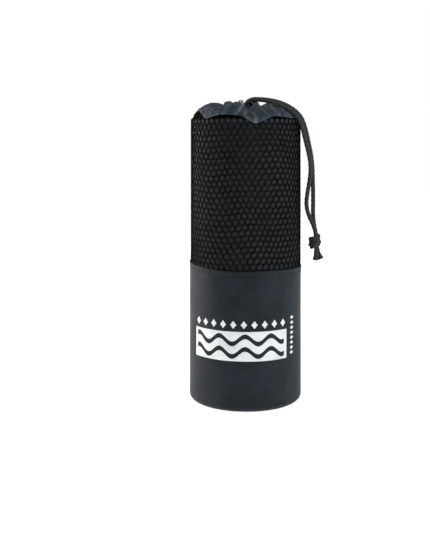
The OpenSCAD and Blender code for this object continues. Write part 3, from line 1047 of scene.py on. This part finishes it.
def towel_sheet():
    line = folded_line()
    across = beside(line)
    width = distance(line)
    # The spiral: as many steps as the sheet is long, then placed so that it ends at the roll's outside.
    length = rolled_length(CORE_R + TURN * climb(np.arange(40 * PER_TURN) / PER_TURN))
    stop = int(np.searchsorted(length, TOWEL_LEN))
    q = (np.arange(stop + 1) + -stop % PER_TURN) / PER_TURN
    radius = TURN * climb(q)
    radius = radius - radius[-1] + TOWEL_R - TURN - 0.05
    aa = (END - (q - q[-1]) * 2 * PI)[:, None]
    s = rolled_length(radius)
    sides, lays = [], []
    for sign in (1, -1):
        rho, zz = (line + across * SHEET_T / 2 * sign).T
        rr = radius[:, None] + rho
        share = rr / 36
        dent = (-0.22 * share**3 * (1 + np.sin(3 * aa + 0.03 * zz + 1) * np.cos(0.05 * zz + aa))
                - 0.10 * share**3 * (1 + np.sin(9 * aa + 0.08 * zz)))
        slump = 0.3 * np.sin(2 * aa + rr * 0.5) * smooth((zz - 178) / 12) - 0.25 * smooth((zz - 185) / 6)
        zz = zz + np.minimum(slump, 0.0)
        dent = dent - 0.65 * share**2 * smooth((zz - 186.5) / 4)
        full = np.clip((186 - zz) / 92, 0, 1) * 0.72 + 0.34 * smooth((188 - zz) / 8)
        dent = dent + share**2 * full * smooth((zz - 6) / 30)
        # Each turn's first fold lies a little deeper than its second, so the roll's end shows its turns.
        zz = zz - 1.1 * (1 - smooth((rho - 0.3) / 1.6)) * smooth((zz - 180) / 10)
        sides.append(round_point(rr + dent, aa, zz)[:, ::sign])
        lays.append(pairs(s[:, None], width)[:, ::sign])
    m, n = len(line), 2 * len(line)
    k = np.arange(m - 1)
    first = np.stack([k, k + 1, n - 2 - k, n - 1 - k], -1)
    last = first[:, ::-1] + (len(q) - 1) * n
    faces = np.vstack([grid_faces(len(q), n, loop_cols=True), first, last])
    return np.concatenate(sides, 1), faces, np.concatenate(lays, 1).reshape(-1, 2), 0


towel = make("towel", [towel_sheet()], [TOWEL])
outward(towel)
stands_for(towel, "towel_roll", "towel")

# Overlocked edge at the outside end of the roll.
zz = np.linspace(TOWEL_Z0 + 2.2, TOWEL_Z1 - 2.6, 300)[:, None]
ww = np.linspace(0, 1, 9)
height = 0.30 * np.sin(PI * ww) ** 0.5 * (0.55 + 0.45 * np.abs(np.sin(PI * (zz / 2.4 + 0.35 * ww))))
aa = math.radians(220.6) + ww * math.radians(7.6)
v = np.concatenate([round_point(36.12 + height, aa, zz), round_point(35.75, aa, zz)[:, ::-1]], 1)
lay = pairs(np.r_[ww, ww[::-1] + 1] * 5.6, zz)
edge = make("towel_edge", [(v, grid_faces(len(zz), 18, loop_cols=True), lay, 0)], [TOWEL_THREAD])
stands_for(edge, "towel_edge_stitching", "towel")

# Hanging loop: flat webbing bent over, with its selvedges.
LOOP_X, LOOP_Y, LOOP_TOP, LOOP_W, STRAP_T = -3.5, 11.5, 208.7, 7.6, 0.9
LOOP_R = LOOP_W / 2 - STRAP_T / 2
BEND_Z = LOOP_TOP - LOOP_W / 2
legs = np.linspace(188.5, BEND_Z, 12)
line = [(-LOOP_R - 0.12 * math.sin((z - 188) / 6), z) for z in legs[:-1]]
line += [(-LOOP_R * math.cos(a), BEND_Z + LOOP_R * math.sin(a)) for a in np.linspace(0, PI, 15)]
line += [(LOOP_R + 0.10 * math.sin((z - 188) / 5), z) for z in legs[::-1][1:]]
line = np.array(line)
# The strap's section: half of its thickness at places across it.
half = [(0, 0.41), (0.8, 0.43), (1.5, 0.4), (1.8, 0.47), (2.1, 0.4), (2.2, 0.16)]
half = [(-y, e) for y, e in half[:0:-1]] + half
section = np.array(half + [(y, -e) for y, e in half[::-1]])
v, lay = [], []
for (x, z), (ax, az), s in zip(line, beside(line), distance(line)):
    narrow = 1 - 0.3 * math.exp(-((z - LOOP_TOP) / 1.7) ** 2)
    y, e = section.T
    v.append(np.stack([LOOP_X + y * narrow, LOOP_Y + x + ax * e, z + az * e], -1))
    lay.append(pairs(y, s))
part = (np.array(v), grid_faces(len(line), len(section), loop_cols=True), np.array(lay), 0)
loop = make("hanging_loop", [part], [LOOP])
outward(loop)
stands_for(loop, "hang_loop", "towel")


# Floor, lights and surroundings. The surroundings are white behind the object and lend it only a soft fill.

FILL = 0.17

floor_paint = Paint("floor", Emission_Color=(1, 1, 1, 1), Emission_Strength=0.84)
soft = floor_paint.noise(1.5, 2.0, vector=floor_paint.node("TexCoord").outputs["Object"])
floor_corners = [(-6, -4, -0.0002), (6, -4, -0.0002), (6, 14, -0.0002), (-6, 14, -0.0002)]
floor_mesh = bpy.data.meshes.new("floor")
floor_mesh.from_pydata(floor_corners, [], [(0, 1, 2, 3)])
floor_mesh.materials.append(floor_paint.finish(floor_paint.ramp(soft, (0.3, 0.93), (0.7, 0.95)), 0.9))
linked("floor", floor_mesh)

world = bpy.data.worlds.new("studio")
world.use_nodes = True
sky = world.node_tree.nodes["Background"]
sky.inputs[0].default_value = (1, 1, 1, 1)
ray = world.node_tree.nodes.new("ShaderNodeLightPath")
level = world.node_tree.nodes.new("ShaderNodeMapRange")
level.inputs[3].default_value, level.inputs[4].default_value = FILL, 1.0
world.node_tree.links.new(ray.outputs["Is Camera Ray"], level.inputs[0])
world.node_tree.links.new(level.outputs[0], sky.inputs[1])
bpy.context.scene.world = world


def area(name, at, aim, size, power, colour=(1, 1, 1)):
    data = bpy.data.lights.new(name, "AREA")
    data.shape = "RECTANGLE"
    data.size, data.size_y = size
    data.energy = power
    data.color = colour
    obj = linked(name, data)
    obj.location = at
    obj.rotation_euler = (Vector(aim) - Vector(at)).to_track_quat("-Z", "Y").to_euler()


area("left_strip", (-0.85, 0.26, 0.30), (0, 0, 0.1), (0.40, 1.0), 10.5, (1.0, 0.93, 0.86))
area("right_soft", (0.95, -0.30, 0.45), (0, 0, 0.1), (0.8, 0.9), 4.2, (0.94, 0.97, 1.0))
area("top_soft", (0.1, -0.5, 1.1), (0, 0, 0.1), (1.0, 1.0), 5.0)

bpy.context.scene.view_settings.view_transform = "Standard"
